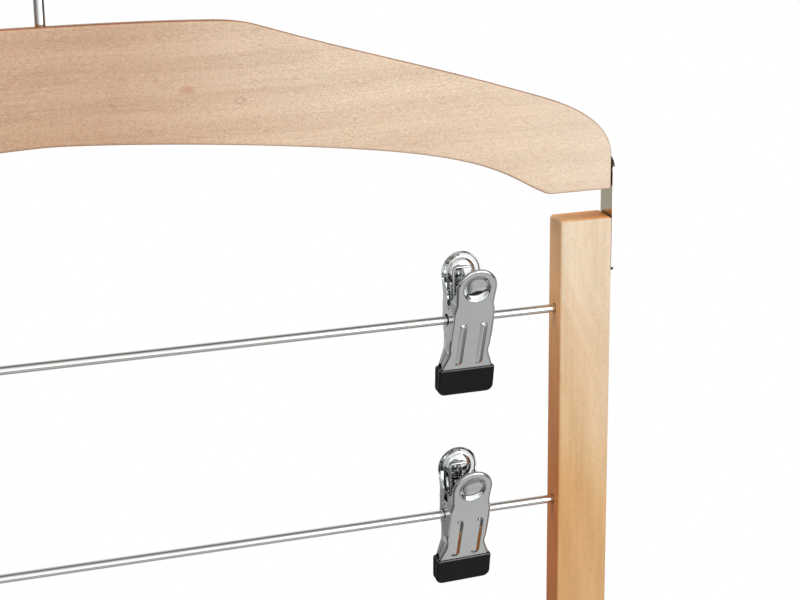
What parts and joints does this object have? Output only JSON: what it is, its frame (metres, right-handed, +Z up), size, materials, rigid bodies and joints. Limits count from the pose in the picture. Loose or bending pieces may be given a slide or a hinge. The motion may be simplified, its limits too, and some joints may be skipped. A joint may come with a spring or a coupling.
{
  "type": "tiered trouser hanger",
  "caption": "Wooden trouser hanger: a swivel hook, a shaped crown, and a swinging ladder of metal rods between side rails, each with sprung clips that slide.",
  "frame": {"origin": "inside top of the hook's bend, where it rests on a closet rail", "axes": "+Z up, -Y towards the hanger's front, +X to the right seen from the front"},
  "size_m": [0.4452, 0.0238, 0.48],
  "materials": {
    "maple": "satin clear lacquer",
    "chrome": "bright plated",
    "spring_steel": "bright plated wire",
    "strap_steel": "nickel plated",
    "black_rubber": "glossy dip coat"
  },
  "bodies": {
    "hook_wire": {"hook": "chrome"},
    "crown_group": {"crown": "maple", "swivel_washer": "strap_steel", "pivot_screw_left": "strap_steel", "pivot_screw_right": "strap_steel"},
    "ladder_frame": {"rail_left": "maple", "rail_right": "maple", "strap_left": "strap_steel", "strap_right": "strap_steel", "strap_screw_left_upper": "strap_steel", "strap_screw_left_lower": "strap_steel", "strap_screw_right_upper": "strap_steel", "strap_screw_right_lower": "strap_steel"},
    "rod_1_shaft": {"rod_1": "chrome"},
    "clip_1_left_rear": {"rear_jaw_1_left": "chrome", "rear_sleeve_1_left": "black_rubber", "spring_1_left": "spring_steel"},
    "clip_1_left_front": {"front_jaw_1_left": "chrome", "front_sleeve_1_left": "black_rubber"},
    "clip_1_right_rear": {"rear_jaw_1_right": "chrome", "rear_sleeve_1_right": "black_rubber", "spring_1_right": "spring_steel"},
    "clip_1_right_front": {"front_jaw_1_right": "chrome", "front_sleeve_1_right": "black_rubber"},
    "rod_2_shaft": {"rod_2": "chrome"},
    "clip_2_left_rear": {"rear_jaw_2_left": "chrome", "rear_sleeve_2_left": "black_rubber", "spring_2_left": "spring_steel"},
    "clip_2_left_front": {"front_jaw_2_left": "chrome", "front_sleeve_2_left": "black_rubber"},
    "clip_2_right_rear": {"rear_jaw_2_right": "chrome", "rear_sleeve_2_right": "black_rubber", "spring_2_right": "spring_steel"},
    "clip_2_right_front": {"front_jaw_2_right": "chrome", "front_sleeve_2_right": "black_rubber"},
    "rod_3_shaft": {"rod_3": "chrome"},
    "clip_3_left_rear": {"rear_jaw_3_left": "chrome", "rear_sleeve_3_left": "black_rubber", "spring_3_left": "spring_steel"},
    "clip_3_left_front": {"front_jaw_3_left": "chrome", "front_sleeve_3_left": "black_rubber"},
    "clip_3_right_rear": {"rear_jaw_3_right": "chrome", "rear_sleeve_3_right": "black_rubber", "spring_3_right": "spring_steel"},
    "clip_3_right_front": {"front_jaw_3_right": "chrome", "front_sleeve_3_right": "black_rubber"},
    "rod_4_shaft": {"rod_4": "chrome"},
    "clip_4_left_rear": {"rear_jaw_4_left": "chrome", "rear_sleeve_4_left": "black_rubber", "spring_4_left": "spring_steel"},
    "clip_4_left_front": {"front_jaw_4_left": "chrome", "front_sleeve_4_left": "black_rubber"},
    "clip_4_right_rear": {"rear_jaw_4_right": "chrome", "rear_sleeve_4_right": "black_rubber", "spring_4_right": "spring_steel"},
    "clip_4_right_front": {"front_jaw_4_right": "chrome", "front_sleeve_4_right": "black_rubber"}
  },
  "joints": [
    {"name": "crown_swivel", "type": "hinge", "parent": "hook_wire", "child": "crown_group", "pos_m": [0, 0, -0.068], "axis": [0, 0, 1], "continuous": true},
    {"name": "frame_swing", "type": "hinge", "parent": "crown_group", "child": "ladder_frame", "pos_m": [0, 0, -0.1379], "axis": [1, 0, 0], "range_deg": [-120, 120]},
    {"name": "rod_1_turn", "type": "hinge", "parent": "ladder_frame", "child": "rod_1_shaft", "pos_m": [0, 0, -0.1934], "axis": [1, 0, 0], "continuous": true},
    {"name": "clip_1_left_slide", "type": "slide", "parent": "rod_1_shaft", "child": "clip_1_left_rear", "axis": [1, 0, 0], "range_m": [-0.0245, 0.146]},
    {"name": "clip_1_left_open", "type": "hinge", "parent": "clip_1_left_rear", "child": "clip_1_left_front", "pos_m": [-0.1606, 0, -0.1934], "axis": [-1, 0, 0], "range_deg": [0, 30], "stiffness_Nm_per_rad": 0.12, "springref_deg": -57.3, "deforming": ["spring_1_left"]},
    {"name": "clip_1_right_slide", "type": "slide", "parent": "rod_1_shaft", "child": "clip_1_right_rear", "axis": [1, 0, 0], "range_m": [-0.146, 0.0245]},
    {"name": "clip_1_right_open", "type": "hinge", "parent": "clip_1_right_rear", "child": "clip_1_right_front", "pos_m": [0.1606, 0, -0.1934], "axis": [-1, 0, 0], "range_deg": [0, 30], "stiffness_Nm_per_rad": 0.12, "springref_deg": -57.3, "deforming": ["spring_1_right"]},
    {"name": "rod_2_turn", "type": "hinge", "parent": "ladder_frame", "child": "rod_2_shaft", "pos_m": [0, 0, -0.2757], "axis": [1, 0, 0], "continuous": true},
    {"name": "clip_2_left_slide", "type": "slide", "parent": "rod_2_shaft", "child": "clip_2_left_rear", "axis": [1, 0, 0], "range_m": [-0.0245, 0.146]},
    {"name": "clip_2_left_open", "type": "hinge", "parent": "clip_2_left_rear", "child": "clip_2_left_front", "pos_m": [-0.1588, 0, -0.2757], "axis": [-0.9995, -0.0057, 0.0309], "range_deg": [0, 30], "stiffness_Nm_per_rad": 0.12, "springref_deg": -57.3, "deforming": ["spring_2_left"]},
    {"name": "clip_2_right_slide", "type": "slide", "parent": "rod_2_shaft", "child": "clip_2_right_rear", "axis": [1, 0, 0], "range_m": [-0.146, 0.0245]},
    {"name": "clip_2_right_open", "type": "hinge", "parent": "clip_2_right_rear", "child": "clip_2_right_front", "pos_m": [0.1588, 0, -0.2757], "axis": [-0.9995, 0.0057, -0.0309], "range_deg": [0, 30], "stiffness_Nm_per_rad": 0.12, "springref_deg": -57.3, "deforming": ["spring_2_right"]},
    {"name": "rod_3_turn", "type": "hinge", "parent": "ladder_frame", "child": "rod_3_shaft", "pos_m": [0, 0, -0.358], "axis": [1, 0, 0], "continuous": true},
    {"name": "clip_3_left_slide", "type": "slide", "parent": "rod_3_shaft", "child": "clip_3_left_rear", "axis": [1, 0, 0], "range_m": [-0.0245, 0.146]},
    {"name": "clip_3_left_open", "type": "hinge", "parent": "clip_3_left_rear", "child": "clip_3_left_front", "pos_m": [-0.1596, 0, -0.358], "axis": [-0.9999, -0.0016, 0.0103], "range_deg": [0, 30], "stiffness_Nm_per_rad": 0.12, "springref_deg": -57.3, "deforming": ["spring_3_left"]},
    {"name": "clip_3_right_slide", "type": "slide", "parent": "rod_3_shaft", "child": "clip_3_right_rear", "axis": [1, 0, 0], "range_m": [-0.146, 0.0245]},
    {"name": "clip_3_right_open", "type": "hinge", "parent": "clip_3_right_rear", "child": "clip_3_right_front", "pos_m": [0.1596, 0, -0.358], "axis": [-0.9999, 0.0016, -0.0103], "range_deg": [0, 30], "stiffness_Nm_per_rad": 0.12, "springref_deg": -57.3, "deforming": ["spring_3_right"]},
    {"name": "rod_4_turn", "type": "hinge", "parent": "ladder_frame", "child": "rod_4_shaft", "pos_m": [0, 0, -0.4403], "axis": [1, 0, 0], "continuous": true},
    {"name": "clip_4_left_slide", "type": "slide", "parent": "rod_4_shaft", "child": "clip_4_left_rear", "axis": [1, 0, 0], "range_m": [-0.0245, 0.146]},
    {"name": "clip_4_left_open", "type": "hinge", "parent": "clip_4_left_rear", "child": "clip_4_left_front", "pos_m": [-0.16, 0, -0.4403], "axis": [-0.9998, -0.0024, 0.0173], "range_deg": [0, 30], "stiffness_Nm_per_rad": 0.12, "springref_deg": -57.3, "deforming": ["spring_4_left"]},
    {"name": "clip_4_right_slide", "type": "slide", "parent": "rod_4_shaft", "child": "clip_4_right_rear", "axis": [1, 0, 0], "range_m": [-0.146, 0.0245]},
    {"name": "clip_4_right_open", "type": "hinge", "parent": "clip_4_right_rear", "child": "clip_4_right_front", "pos_m": [0.16, 0, -0.4403], "axis": [-0.9998, 0.0024, -0.0173], "range_deg": [0, 30], "stiffness_Nm_per_rad": 0.12, "springref_deg": -57.3, "deforming": ["spring_4_right"]}
  ]
}
